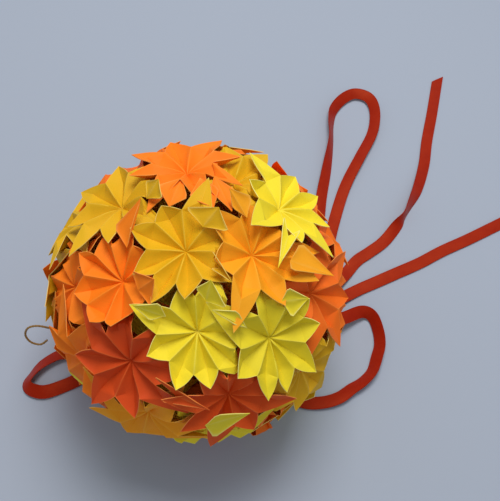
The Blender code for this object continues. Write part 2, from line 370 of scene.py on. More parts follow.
# Ribbons: x, y and height of the band's middle in millimetres, and its lean from lying flat in degrees.
ribbons = {
    "bow_loop_upper": {
        "farEnd": "object",
        "route": (
            (42, 16, 11.5, 0), (47, 24, 5, 0), (53, 38, 1.5, 0), (59, 57, 1, 5), (63, 80, 1.5, 15),
            (67, 97, 2, 30), (71, 116, 3, 60), (72, 128, 3, 55), (74, 137, 3, 40), (80, 145, 3, 30),
            (87, 149, 3, 25), (94, 147, 3, 25), (97, 141, 3, 30), (97, 132, 2.5, 25), (94, 121, 2, 20),
            (86, 106, 2, 15), (78, 91, 1.5, 10), (73, 79, 1, 5), (67, 61, 1, 5), (60, 38, 3.5, 0),
            (50.5, 24, 11, 0), (45, 16, 16, 0),
        ),
    },
    "ribbon_tail_long": {
        "farEnd": "bare",
        "cut": 0.95,
        "route": (
            (50.7, 11.7, 16.5, 0), (59, 19, 10, 0), (65, 28, 4, 0), (72, 36, 1.2, 0), (78, 43, 1, 5),
            (85, 48, 1, 0), (93, 54, 1, 5), (100, 62, 1.5, 20), (105, 68, 3, 70), (109, 75, 3, 60),
            (115, 86, 2, 25), (121, 102, 1, 5), (125, 118, 0.7, 0), (131, 138, 0.6, 0), (138, 163, 0.6, 0),
        ),
    },
    "ribbon_tail_side": {
        "farEnd": "bare",
        "cut": 0.5,
        "route": (
            (50.5, 10.5, 12.5, 0), (59, 15.5, 6, 0), (68, 22, 2, 0), (77, 27, 1, 0), (86, 31, 1, 5),
            (97, 36, 1, 5), (110, 42, 0.8, 0), (123, 49, 0.8, 0), (138, 56, 0.8, 0), (156, 65, 0.8, 5),
            (174, 74, 0.8, 0), (193, 83, 0.6, 0),
        ),
    },
    "bow_loop_lower": {
        "farEnd": "object",
        "route": (
            (46, 3.3, 16, 0), (58, 5.5, 11, 10), (68, 10, 6.5, 20), (77, 14, 4.2, 30), (82, 12, 3.2, 45),
            (84, 5, 3, 45), (84, -2, 3, 40), (82, -8, 3, 35), (79, -15, 3, 40), (74, -20, 2.6, 35),
            (69, -23, 2.2, 25), (63, -27, 2, 15), (56, -29, 1.5, 10), (48, -29, 1, 5), (42, -26, 1, 5),
            (40, -18, 1.5, 5), (38.3, -9, 4.5, 0), (36.8, -2, 9.9, 0), (42, 5.7, 11.5, 0),
        ),
    },
    "hanging_loop": {
        "farEnd": "object",
        "route": (
            (-44.8, 7, 15.8, 5), (-51, 2, 8, 5), (-59, -4, 2, 10), (-65, -6, 2, 25), (-71, -10, 2.5, 35),
            (-75, -15, 3, 50), (-77, -19, 3, 45), (-75, -22, 3, 35), (-69, -23, 2, 15), (-61, -20, 1, 5),
            (-53, -16, 1.5, 5), (-46, -10, 5, 5), (-40, -4, 11.7, 5),
        ),
    },
}
ribbonMake = {
    "thickness": 0.00032,
    "cup": 0.00018,
    "spans": 7,
    "rest": 0.0002,
    "profileCuts": 13,
    "lastFactor": 0.9999,
    "sharpAngle": 50.0,
}


def smoothRoute(points, spans):
    points = np.array(points, float)
    ends = np.vstack((2 * points[0] - points[1], points, 2 * points[-1] - points[-2]))
    route = []
    for k in range(len(points) - 1):
        a, b, c, d = ends[k : k + 4]
        for step in range(spans):
            t = step / spans
            bend = (2 * a - 5 * b + 4 * c - d) * t**2 + (3 * b - a - 3 * c + d) * t**3
            route.append(0.5 * (2 * b + (c - a) * t + bend))
    route.append(points[-1])
    return np.array(route)


def finishTree(tree, geometry, given, result):
    # Every tree ends in real geometry with its material set.
    real = addNode(tree, "GeometryNodeRealizeInstances", {0: geometry})
    values = {"Geometry": real.outputs[0], "Material": given.outputs["Material"]}
    tree.links.new(addNode(tree, "GeometryNodeSetMaterial", values).outputs[0], result.inputs[0])


def ribbonBandTree():
    # Sweeps a thin cupped band along the curve and keeps where each point lies on the ribbon.
    tree, given, result = newGroup(
        "ribbonBand",
        "GeometryNodeTree",
        (
            ("Geometry", "NodeSocketGeometry", None),
            ("Width", "NodeSocketFloat", satin["width"]),
            ("Thickness", "NodeSocketFloat", ribbonMake["thickness"]),
            ("Cup", "NodeSocketFloat", ribbonMake["cup"]),
            ("Cut", "NodeSocketFloat", 0.0),
            ("Material", "NodeSocketMaterial", None),
        ),
        (("Geometry", "NodeSocketGeometry"),),
    )
    outline = addNode(tree, "GeometryNodeCurvePrimitiveQuadrilateral", mode="RECTANGLE")
    tree.links.new(given.outputs["Width"], outline.inputs["Width"])
    tree.links.new(given.outputs["Thickness"], outline.inputs["Height"])
    cuts = ribbonMake["profileCuts"]
    finer = addNode(tree, "GeometryNodeSubdivideCurve", {"Curve": outline.outputs[0], "Cuts": cuts})
    spot = addNode(tree, "GeometryNodeInputPosition").outputs[0]
    parts = addNode(tree, "ShaderNodeSeparateXYZ", {0: spot})
    halfWidth = mathNode(tree, "MULTIPLY", given.outputs["Width"], 0.5)
    share = mathNode(tree, "DIVIDE", parts.outputs[0], halfWidth)
    lift = mathNode(tree, "MULTIPLY", mathNode(tree, "MULTIPLY", share, share), given.outputs["Cup"])
    raised = addNode(tree, "ShaderNodeCombineXYZ", {1: lift})
    moved = {"Geometry": finer.outputs[0], "Offset": raised.outputs[0]}
    cupped = addNode(tree, "GeometryNodeSetPosition", moved)
    acrossKept = addNode(tree, "GeometryNodeCaptureAttribute", domain="POINT")
    acrossKept.capture_items.new("FLOAT", "across")
    tree.links.new(cupped.outputs[0], acrossKept.inputs[0])
    tree.links.new(parts.outputs[0], acrossKept.inputs[1])
    alongKept = addNode(tree, "GeometryNodeCaptureAttribute", domain="POINT")
    for kind, label in (("FLOAT", "along"), ("FLOAT", "factor"), ("VECTOR", "heading")):
        alongKept.capture_items.new(kind, label)
    where = addNode(tree, "GeometryNodeSplineParameter")
    heading = addNode(tree, "GeometryNodeInputTangent").outputs[0]
    tree.links.new(given.outputs["Geometry"], alongKept.inputs[0])
    tree.links.new(where.outputs["Length"], alongKept.inputs[1])
    tree.links.new(where.outputs["Factor"], alongKept.inputs[2])
    tree.links.new(heading, alongKept.inputs[3])
    swept = addNode(tree, "GeometryNodeCurveToMesh", {"Fill Caps": True})
    tree.links.new(alongKept.outputs[0], swept.inputs["Curve"])
    tree.links.new(acrossKept.outputs[0], swept.inputs["Profile Curve"])
    tip = mathNode(tree, "GREATER_THAN", alongKept.outputs[2], ribbonMake["lastFactor"])
    slope = mathNode(tree, "MULTIPLY", acrossKept.outputs[1], given.outputs["Cut"])
    slant = mathNode(tree, "MULTIPLY", slope, tip)
    scaled = {0: alongKept.outputs[3], "Scale": slant}
    shift = addNode(tree, "ShaderNodeVectorMath", scaled, operation="SCALE")
    slanted = {"Geometry": swept.outputs[0], "Offset": shift.outputs[0]}
    cutEnd = addNode(tree, "GeometryNodeSetPosition", slanted)
    kept = cutEnd.outputs[0]
    for label, value in (("along", alongKept.outputs[1]), ("across", acrossKept.outputs[1])):
        kinds = {"data_type": "FLOAT", "domain": "POINT"}
        values = {"Geometry": kept, "Name": label, "Value": value}
        kept = addNode(tree, "GeometryNodeStoreNamedAttribute", values, **kinds).outputs[0]
    finishTree(tree, kept, given, result)
    return tree


def giveInputs(modifier, values):
    for item in modifier.node_group.interface.items_tree:
        if item.item_type == "SOCKET" and item.in_out == "INPUT" and item.name in values:
            modifier[item.identifier] = values[item.name]


def plainMesh(obj, name):
    # Turns what the modifiers give into a plain mesh object of that name.
    bpy.context.view_layer.update()
    graph = bpy.context.evaluated_depsgraph_get()
    mesh = bpy.data.meshes.new_from_object(obj.evaluated_get(graph), depsgraph=graph)
    bpy.data.objects.remove(obj, do_unlink=True)
    mesh.name = name
    return addObject(name, mesh)


ribbonBand = ribbonBandTree()


def bandCurve(name, path, leans):
    curve = bpy.data.curves.new(name, "CURVE")
    curve.dimensions = "3D"
    curve.twist_mode = "Z_UP"
    spline = curve.splines.new("POLY")
    spline.points.add(len(path) - 1)
    for point, place, lean in zip(spline.points, path, leans):
        point.co = (*place, 1.0)
        point.tilt = math.radians(lean)
    return addObject(name, curve)


def makeBand(name, path, leans, cut):
    band = bandCurve(name + "_route", path, leans)
    modifier = band.modifiers.new("band", "NODES")
    modifier.node_group = ribbonBand
    giveInputs(
        modifier,
        {
            "Width": satin["width"],
            "Thickness": ribbonMake["thickness"],
            "Cup": ribbonMake["cup"],
            "Cut": cut,
            "Material": satinFinish,
        },
    )
    made = plainMesh(band, name)
    made.data.shade_smooth()
    made.data.set_sharp_from_angle(angle=math.radians(ribbonMake["sharpAngle"]))
    return made


def makeRibbons():
    for name, ribbon in ribbons.items():
        route = smoothRoute(ribbon["route"], ribbonMake["spans"])
        path, leans = route[:, :3] / 1000, route[:, 3]
        half = satin["width"] / 2 * np.abs(np.sin(np.radians(leans)))
        path[:, 2] = np.maximum(path[:, 2], half + ribbonMake["thickness"] / 2 + ribbonMake["rest"])
        made = makeBand(name + "_satin", path, leans, ribbon.get("cut", 0.0))
        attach(made, "root")
        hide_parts(name)


makeRibbons()
print("ribbons laid")

thread = {
    "route": (
        (-50.9, -12.4, 47.8), (-57, -13, 51), (-63, -12.5, 53), (-67, -13, 52), (-68.5, -14.5, 48.5),
        (-67, -16, 45), (-63.5, -16.5, 43.5), (-60.5, -15.5, 45.5),
    ),
    "radius": 0.0004,
    "spans": 10,
    "around": 14,
    "plyTurnsPerMetre": 420.0,
    "plyDepth": 0.16,
}


def makeThread():
    # A two-ply sewing thread: its lobed section turns as it goes along.
    path = smoothRoute(thread["route"], thread["spans"]) / 1000
    steps = np.gradient(path, axis=0)
    steps /= np.linalg.norm(steps, axis=1)[:, None]
    side = np.cross(steps[0], (0.0, 0.0, 1.0))
    mesh = bmesh.new()
    rings, travelled = [], 0.0
    for k, centre in enumerate(path):
        side = side - steps[k] * float(side @ steps[k])
        side /= np.linalg.norm(side)
        other = np.cross(steps[k], side)
        if k:
            travelled += float(np.linalg.norm(centre - path[k - 1]))
        ring = []
        for j in range(thread["around"]):
            turn = math.tau * j / thread["around"]
            lobe = math.cos(2 * (turn - math.tau * thread["plyTurnsPerMetre"] * travelled))
            reach = thread["radius"] * (1 + thread["plyDepth"] * lobe)
            ring.append(mesh.verts.new(centre + reach * (math.cos(turn) * side + math.sin(turn) * other)))
        rings.append(ring)
    for first, second in zip(rings, rings[1:]):
        for j in range(thread["around"]):
            n = (j + 1) % thread["around"]
            mesh.faces.new((first[j], first[n], second[n], second[j]))
    mesh.faces.new(rings[0][::-1])
    mesh.faces.new(rings[-1])
    bmesh.ops.recalc_face_normals(mesh, faces=mesh.faces[:])
    made = meshObject("thread_curl", mesh, threadFinish)
    made.data.shade_smooth()
    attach(made, "root")
    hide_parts("thread_end")


makeThread()

knot = {
    "place": (0.0445, 0.0105, 0.0140),
    "size": (0.0085, 0.0075, 0.0065),
    "withinSolid": 0.97,
    "cuts": 23,
    "roundness": 0.62,
    "fullness": 1.12,
    "waistDepth": 0.16,
    "waistWidth": 0.34,
    "creases": 5,
    "creaseDepth": 0.07,
    "creaseTwist": 1.7,
}


def makeKnot():
    # The pulled knot: a rounded lump, creased lengthways where the ribbon gathers, and pinched by its wrap.
    mesh = bmesh.new()
    bmesh.ops.create_cube(mesh, size=1.0)
    bmesh.ops.subdivide_edges(mesh, edges=mesh.edges[:], cuts=knot["cuts"], use_grid_fill=True)
    across = mesh.verts.layers.float.new("across")
    along = mesh.verts.layers.float.new("along")
    for vert in mesh.verts:
        spot = Vector(vert.co) * 2
        rounded = spot.normalized()
        spot = spot.lerp(rounded * knot["fullness"], knot["roundness"])
        turn = math.atan2(spot.z, spot.y)
        waist = 1 - knot["waistDepth"] * math.exp(-((spot.x / knot["waistWidth"]) ** 2))
        crease = math.cos(turn * knot["creases"] + knot["creaseTwist"] * spot.x)
        gather = 1 - knot["creaseDepth"] * (1 + crease) / 2
        spot.y *= waist * gather
        spot.z *= waist * gather
        vert[across] = (turn / math.pi) * satin["width"] / 2
        vert[along] = spot.x * knot["size"][0] / 2
        half = knot["withinSolid"] / 2
        vert.co = Vector(knot["place"]) + Vector(c * s * half for c, s in zip(spot, knot["size"]))
    bmesh.ops.recalc_face_normals(mesh, faces=mesh.faces[:])
    made = meshObject("bow_knot_tied", mesh, satinFinish)
    made.data.shade_smooth()
    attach(made, "root")
    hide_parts("bow_knot")


makeKnot()
print("thread and knot made")

# The folds of one flower, as distances from its axis and heights above the ball's centre, in ball radii.
# Powers, rows and columns shape its grid. The weld and the clearance are in metres.
fold = {
    "cupHeight": 0.862,
    "notchReach": 0.215,
    "notchHeight": 0.950,
    "roomShare": 0.98,
    "rimValleyReach": 0.208,
    "rimValleyHeight": 0.884,
    "plainReach": 0.340,
    "longReach": 0.415,
    "plainRadius": 0.995,
    "longRadius": 1.012,
    "vertexReach": 0.285,
    "vertexRadius": 0.967,
    "leastFlap": 0.03,
    "shoulder": 0.012,
    "plainShoulder": 0.008,
    "bow": 0.007,
    "flapBow": 0.3,
    "ridgePower": 0.62,
    "valleyPower": 1.12,
    "innerRows": 9,
    "creaseRows": 4,
    "outerRows": 8,
    "columns": (0.0, 0.05, 0.22, 0.41, 0.60, 0.79, 0.95, 1.0),
    "weld": 0.00001,
    "floorClearance": 0.0004,
}

# How much the flowers differ from one another, by chance.
vary = {
    "seed": 11,
    "reach": 0.012,
    "radius": 0.01,
    "vertexReach": 0.01,
    "vertexRadius": 0.012,
    "swayDegrees": 4,
    "notchReach": 0.06,
    "notchHeight": 0.006,
    "tone": 0.6,
}

# How a sheet goes under its neighbours: gap in metres, the rest in ball radii.
tuck = {
    "within": 0.33,
    "reach": 0.47,
    "radius": 0.945,
    "vertexRadius": 0.93,
    "near": 1.25,
    "spread": 0.028,
    "gap": 0.0011,
}

# The petals that the picture shows are told by their bearing, to within this many degrees.
seenWithin = 9

# Reaches read for the petals that the picture shows: bearing in degrees, then reach in ball radii.
shownTips = {
    "flower_01": {160: 0.31, 117: 0.28, 72: 0.44, 20: 0.30, -39: 0.33, -86: 0.30, -119: 0.35, -156: 0.31},
    "flower_02": {97: 0.31, 141: 0.37, 55: 0.30, -15: 0.42, -109: 0.47, -160: 0.27},
    "flower_03": {156: 0.39, 111: 0.29, 75: 0.33, -5: 0.26, -42: 0.33, -76: 0.31, -114: 0.33, -160: 0.29},
    "flower_04": {147: 0.29, 117: 0.29, 79: 0.37, 39: 0.25, -4: 0.25, -89: 0.25, -121: 0.26, -169: 0.28},
    "flower_07": {149: 0.47, 50: 0.30, 15: 0.29, -38: 0.38, -97: 0.35, -151: 0.29},
    "flower_08": {173: 0.27, 72: 0.36, 36: 0.34, -2: 0.36, -76: 0.30},
    "flower_10": {-120: 0.43, -75: 0.42, -30: 0.37, 150: 0.42, 60: 0.42, 105: 0.36, 15: 0.34, -165: 0.34},
}

# Which flower lies over which where petals overlap. The rest come below these, in a random order.
layers = {
    "flower_08": 13, "flower_02": 12, "flower_01": 11, "flower_07": 10, "flower_03": 9, "flower_11": 8,
    "flower_12": 7, "flower_10": 8.5, "flower_04": 5, "flower_09": 4, "flower_06": 3, "flower_05": 2,
}

# How deep each sheet's colour is, from 0, bright, to 1, deep; for flower_05 and flower_06, which lie in
# shade on the lower left, the deep colour is painted shade. The rest vary.
tonesAndPaintedShade = {
    "flower_01": 0.1, "flower_02": 0.1, "flower_03": 0.0, "flower_04": 0.0, "flower_05": 1.0,
    "flower_06": 0.9, "flower_07": 0.4, "flower_08": 0.0, "flower_09": 0.5, "flower_10": 0.0,
    "flower_11": 0.2, "flower_12": 0.2, "flower_14": 0.3, "flower_15": 0.4, "flower_16": 0.5,
    "flower_22": 0.2, "flower_23": 0.2, "flower_48": 0.7, "flower_50": 0.6,
}

# How far a flower turns toward the eye, in degrees.
leans = {"flower_10": 7.5}

# Sheets that the ball stands on, opened wider so that they close round its underside.
underside = {"below": -0.25, "notchReach": 0.27, "plainReach": 0.40, "longReach": 0.46}

# The solids' own heights, in ball radii, and how close a point has to be to count as the same.
reading = {
    "cupHeight": 0.80,
    "valleyHeight": 0.830,
    "plainTipHeight": 0.950,
    "sameHeight": 0.004,
    "sameBearing": 4,
    "offAxis": 0.05,
    "decimals": 6,
    "rounds": 4,
}


def uniquePoints(node):
    points = np.array([tuple(vertex.co) for vertex in node.data.vertices])
    return np.unique(np.round(points, reading["decimals"]), axis=0)


def bearingGap(a, b):
    return abs((a - b + 180) % 360 - 180)


def tangents(axis):
    across = np.array((1.0, 0.0, 0.0)) - axis[0] * axis
    if np.linalg.norm(across) < 1e-6:
        across = np.array((0.0, 1.0, 0.0))
    across /= np.linalg.norm(across)
    return across, np.cross(axis, across)


def leanToward(axis, target, degrees):
    # Turns a flower's axis toward the eye.
    angle = math.acos(max(-1.0, min(1.0, float(axis @ target))))
    sideways = axis - target * float(axis @ target)
    sideways /= np.linalg.norm(sideways)
    angle -= math.radians(degrees)
    return target * math.cos(angle) + sideways * math.sin(angle)


def readFlowers():
    # Every cup lies at one distance from the ball's centre, so the cups give the centre and the size.
    nodes = {name: uniquePoints(node) for name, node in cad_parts.items() if name.startswith("flower_")}
    everything = np.vstack(list(nodes.values()))
    centre = (everything.min(axis=0) + everything.max(axis=0)) / 2
    for _ in range(reading["rounds"]):
        cups = []
        for points in nodes.values():
            away = points - centre
            guess = away.mean(axis=0)
            guess /= np.linalg.norm(guess)
            heights = away @ guess
            apart = np.linalg.norm(away - heights[:, None] * guess, axis=1)
            inner = np.argsort(apart)[:2]
            cups.append(points[inner[np.argmax(heights[inner])]])
        cups = np.array(cups)
        rows = np.hstack((2 * cups, np.ones((len(cups), 1))))
        solved = np.linalg.lstsq(rows, (cups**2).sum(axis=1), rcond=None)[0]
        centre = solved[:3]
    reach = math.sqrt(solved[3] + float(centre @ centre))
    radius = reach / reading["cupHeight"]
    flowers = {}
    rise = math.radians(view["elevation"])
    toEye = np.array((0.0, -math.cos(rise), math.sin(rise)))
    for (name, points), cup in zip(nodes.items(), cups):
        axis = (cup - centre) / np.linalg.norm(cup - centre)
        across, along = tangents(axis)
        away = (points - centre) / radius
        heights = away @ axis
        bearings = np.degrees(np.arctan2(away @ along, away @ across))
        far = np.linalg.norm(away - heights[:, None] * axis, axis=1) > reading["offAxis"]
        valleys, plain = (
            bearings[(np.abs(heights - reading[height]) < reading["sameHeight"]) & far]
            for height in ("valleyHeight", "plainTipHeight")
        )
        valleys = sorted(valleys, reverse=True)
        isPlain = [min(bearingGap(v, p) for p in plain) < reading["sameBearing"] for v in valleys]
        if name in leans:
            axis = leanToward(axis, toEye, leans[name])
        flowers[name] = {"axis": axis, "bearings": valleys, "plain": isPlain}
    return centre, radius, flowers


ballCentre, ballRadius, flowers = readFlowers()
print("flowers read:", len(flowers), "ball radius %.1f mm" % (1000 * ballRadius))
print("petals per flower:", sorted({len(flower["bearings"]) for flower in flowers.values()}))


def roomToward(outward, height, axis, others):
    # How far out a point at this height can lie before it crosses into a neighbour's place.
    limit = math.inf
    for other in others:
        toward = float(outward @ other)
        if toward > 1e-6:
            limit = min(limit, height * (1 - float(axis @ other)) / toward)
    return limit


def nearestAxis(axis, outward, reach, radius, others):
    # The distance from a tip to the nearest of the other flowers' axes, in ball radii.
    tip = axis * math.sqrt(radius**2 - reach**2) + outward * reach
    away = (float(np.linalg.norm(tip - other * float(tip @ other))) for other in others)
    return min(away, default=math.inf)


def petalPlan(name, flower, chance):
    # Where each petal's tip goes: over a lower neighbour, under a higher one, or free between them.
    across, along = tangents(flower["axis"])
    higher = [flowers[other]["axis"] for other in flowers if layerOf[other] > layerOf[name]]
    petals = []
    for bearing, plain in zip(flower["bearings"], flower["plain"]):
        turn = math.radians(bearing)
        outward = math.cos(turn) * across + math.sin(turn) * along
        sizes = underside if flower["axis"][2] < underside["below"] else fold
        reach = sizes["plainReach"] if plain else sizes["longReach"]
        isSeen = False
        for seen, seenReach in shownTips.get(name, {}).items():
            if bearingGap(seen, bearing) < seenWithin:
                reach = seenReach
                isSeen = True
        reach += vary["reach"] * chance.uniform(-1, 1)
        radius = fold["plainRadius"] if plain else fold["longRadius"]
        radius += vary["radius"] * chance.uniform(-1, 1)
        under = nearestAxis(flower["axis"], outward, reach, tuck["radius"], higher) < tuck["within"]
        flap = None
        if under:
            # Tucked in under a neighbour, and longer there, so that no gap is left between the sheets.
            if not isSeen:
                reach = max(reach, tuck["reach"])
            radius = tuck["radius"]
        if not plain:
            vertexReach = min(fold["vertexReach"], reach - fold["leastFlap"])
            vertexReach += vary["vertexReach"] * chance.uniform(-1, 1)
            if under:
                vertexRadius = (radius + tuck["vertexRadius"]) / 2
            else:
                vertexRadius = fold["vertexRadius"] + vary["vertexRadius"] * chance.uniform(-1, 1)
            flap = (vertexReach, math.sqrt(vertexRadius**2 - vertexReach**2))
        petals.append(
            {
                "turn": turn,
                "reach": reach,
                "height": math.sqrt(radius**2 - reach**2),
                "flap": flap,
                "sway": math.radians(chance.uniform(-vary["swayDegrees"], vary["swayDegrees"])),
            }
        )
    return petals


foldedSheets = {}
order = random.Random(vary["seed"])
layerOf = {name: order.random() for name in sorted(flowers)} | layers


def flowerPoint(turn, reach, height):
    return np.array((math.cos(turn) * reach, math.sin(turn) * reach, height))


def halfPetal(petal, notch, notchTurn):
    # One side of a petal as a grid: rows from the cup to the tip, columns from the valley to the edge.
    rows = []
    tip = flowerPoint(petal["turn"] + petal["sway"], petal["reach"], petal["height"])
    rimValley = flowerPoint(petal["turn"], fold["rimValleyReach"], fold["rimValleyHeight"])
    share = math.cos(notchTurn - petal["turn"])
    sideways = flowerPoint(notchTurn, 1, 0) - flowerPoint(petal["turn"], share, 0)
    sideways /= np.linalg.norm(sideways)
    for i in range(fold["innerRows"]):
        s = i / fold["innerRows"]
        ridgeRise = (fold["notchHeight"] - fold["cupHeight"]) * s ** fold["ridgePower"]
        valleyRise = (fold["rimValleyHeight"] - fold["cupHeight"]) * s ** fold["valleyPower"]
        ridge = flowerPoint(notchTurn, fold["notchReach"] * s, fold["cupHeight"] + ridgeRise)
        valley = flowerPoint(petal["turn"], fold["rimValleyReach"] * s, fold["cupHeight"] + valleyRise)
        rows.append((valley, ridge, s * fold["bow"]))
    if petal["flap"]:
        # The corner petals are creased from the notches to a point on the valley, and their tip bends there.
        vertex = flowerPoint(petal["turn"], *petal["flap"])
        for i in range(fold["creaseRows"]):
            q = i / fold["creaseRows"]
            rows.append((rimValley + (vertex - rimValley) * q, notch, fold["bow"] * (1 - q)))
        start, bulge, bow = vertex, fold["shoulder"], fold["bow"] * fold["flapBow"]
    else:
        start, bulge, bow = rimValley, fold["plainShoulder"], fold["bow"]
    for i in range(fold["outerRows"] + 1):
        q = i / fold["outerRows"]
        valley = start + (tip - start) * q
        edge = notch + (tip - notch) * q + sideways * bulge * math.sin(math.pi * q)
        rows.append((valley, edge, bow * (1 - q)))
    grid = []
    for valley, edge, bow in rows:
        line = []
        for t in fold["columns"]:
            spot = valley + (edge - valley) * t
            spot[2] -= bow * math.sin(math.pi * t)
            line.append(spot)
        grid.append(line)
    return grid


# The bow is in metres, and each kite is widest at this share of its crease.
curlMake = {"creaseSteps": 8, "acrossSteps": 5, "sideAt": 0.45, "bow": 0.0007}

# Petal tips that curl up: picture x, y and height in ball radii, for the base, one side, tip and other side.
curls = {
    "flower_03": (
        ((166, 316, 0.972), (160, 303, 1.050), (132, 305, 1.040), (150, 321, 0.985)),
        ((206, 301, 0.965), (195, 288, 1.000), (211, 280, 1.070), (227, 309, 1.020)),
    ),
    "flower_07": (
        ((281, 301, 0.968), (288, 287, 1.030), (309, 298, 1.060), (292, 318, 0.985)),
        ((247, 328, 0.968), (238, 311, 1.010), (212, 310, 1.060), (236, 326, 1.000)),
    ),
    "flower_02": (
        ((247, 218, 0.968), (232, 208, 0.990), (229, 188, 1.060), (252, 196, 1.030)),
        ((290, 261, 0.980), (301, 242, 0.990), (334, 276, 1.040), (291, 270, 1.020)),
    ),
    "flower_01": (
        ((203, 227, 0.972), (185, 207, 1.010), (219, 207, 1.070), (229, 232, 1.010)),
        ((223, 268, 0.968), (211, 249, 1.045), (232, 282, 1.020), (210, 268, 0.990)),
    ),
    "flower_04": (
        ((127, 248, 0.965), (114, 227, 0.990), (141, 198, 1.070), (131, 232, 1.010)),
        ((138, 290, 0.968), (132, 270, 0.990), (154, 279, 1.060), (151, 307, 0.985)),
    ),
    "flower_08": (((288, 236, 0.972), (284, 214, 0.990), (278, 268, 1.050), (302, 229, 1.000)),),
    "flower_06": (((176, 396, 0.970), (151, 374, 1.000), (210, 410, 1.030), (160, 402, 0.985)),),
    "flower_23": (((205, 425, 0.970), (217, 415, 0.995), (250, 413, 1.030), (214, 438, 1.000)),),
    "flower_10": (
        ((182, 178, 0.960), (156, 186, 0.975), (169, 207, 0.985), (188, 198, 0.970)),
        ((200, 178, 0.960), (188, 198, 0.968), (214, 208, 0.980), (219, 188, 0.972)),
        ((214, 176, 0.960), (210, 190, 0.968), (232, 212, 0.975), (236, 190, 0.970)),
    ),
    "flower_12": (((147, 199, 0.970), (146, 181, 1.000), (159, 179, 1.060), (163, 199, 1.010)),),
}


def onBall(x, y, height):
    # The near point, at this height, that shows at this place in the picture.
    placed = bpy.context.scene.camera.matrix_world
    ray = (placed.to_3x3() @ pixelRay(x, y)).normalized()
    toBall = Vector(ballCentre) - placed.translation
    along = toBall.dot(ray)
    beside = toBall.length_squared - along**2
    inside = math.sqrt(max(0.0, (height * ballRadius) ** 2 - beside))
    return placed.translation + ray * (along - inside)


def fillGrid(mesh, made, turned):
    faces = []
    for first, second in zip(made, made[1:]):
        for j in range(len(first) - 1):
            corners = (first[j], second[j], second[j + 1], first[j + 1])
            faces.append(mesh.faces.new(corners[::-1] if turned else corners))
    return faces


def addCurl(mesh, marks, tone, corners):
    # A kite creased from its base to its tip, with each half bowed a little.
    base, left, tip, right = (onBall(*corner) for corner in corners)
    rim, crease, sheetTone = marks
    steps, columns, bend = curlMake["creaseSteps"], curlMake["acrossSteps"], curlMake["sideAt"]
    outward = (base - Vector(ballCentre)).normalized()
    for side in (left, right):
        made = []
        for i in range(steps + 1):
            q = i / steps
            middle = base.lerp(tip, q)
            edge = base.lerp(side, q / bend) if q < bend else side.lerp(tip, (q - bend) / (1 - bend))
            row = []
            for j in range(columns + 1):
                t = j / columns
                dip = curlMake["bow"] * math.sin(math.pi * t) * math.sin(math.pi * q)
                vert = mesh.verts.new(middle.lerp(edge, t) - outward * dip)
                vert[rim] = 1.0 if j == columns else 0.0
                vert[crease] = 1.0 if j == 0 else 0.0
                vert[sheetTone] = tone
                row.append(vert)
            made.append(row)
        patch = fillGrid(mesh, made, False)
        facing = Vector()
        for face in patch:
            face.normal_update()
            facing += face.normal * face.calc_area()
        if facing.dot(outward) < 0:
            bmesh.ops.reverse_faces(mesh, faces=patch)


def coverOver(name):
    # The sheets around this one that lie over it, as one tree to measure against.
    axis = flowers[name]["axis"]
    spots, faces = [], []
    for other, (otherSpots, otherFaces) in foldedSheets.items():
        if np.linalg.norm(flowers[other]["axis"] - axis) < tuck["near"]:
            faces += [[index + len(spots) for index in face] for face in otherFaces]
            spots += otherSpots
    return BVHTree.FromPolygons(spots, faces) if faces else None


def tuckUnder(mesh, cover):
    # Presses a sheet in wherever another lies over it, with a margin so that the edges clear as well.
    centre = Vector(ballCentre)
    for vert in mesh.verts:
        outward = vert.co - centre
        radius = outward.length
        outward.normalize()
        sideways = outward.orthogonal().normalized() * tuck["spread"]
        crossways = outward.cross(sideways)
        limit = radius
        for shift in (Vector(), sideways, -sideways, crossways, -crossways):
            hit = cover.ray_cast(centre, outward + shift)
            if hit[0]:
                limit = min(limit, hit[3] - tuck["gap"])
        if limit < radius:
            vert.co = centre + outward * limit
            vert.co.z = max(vert.co.z, fold["floorClearance"])


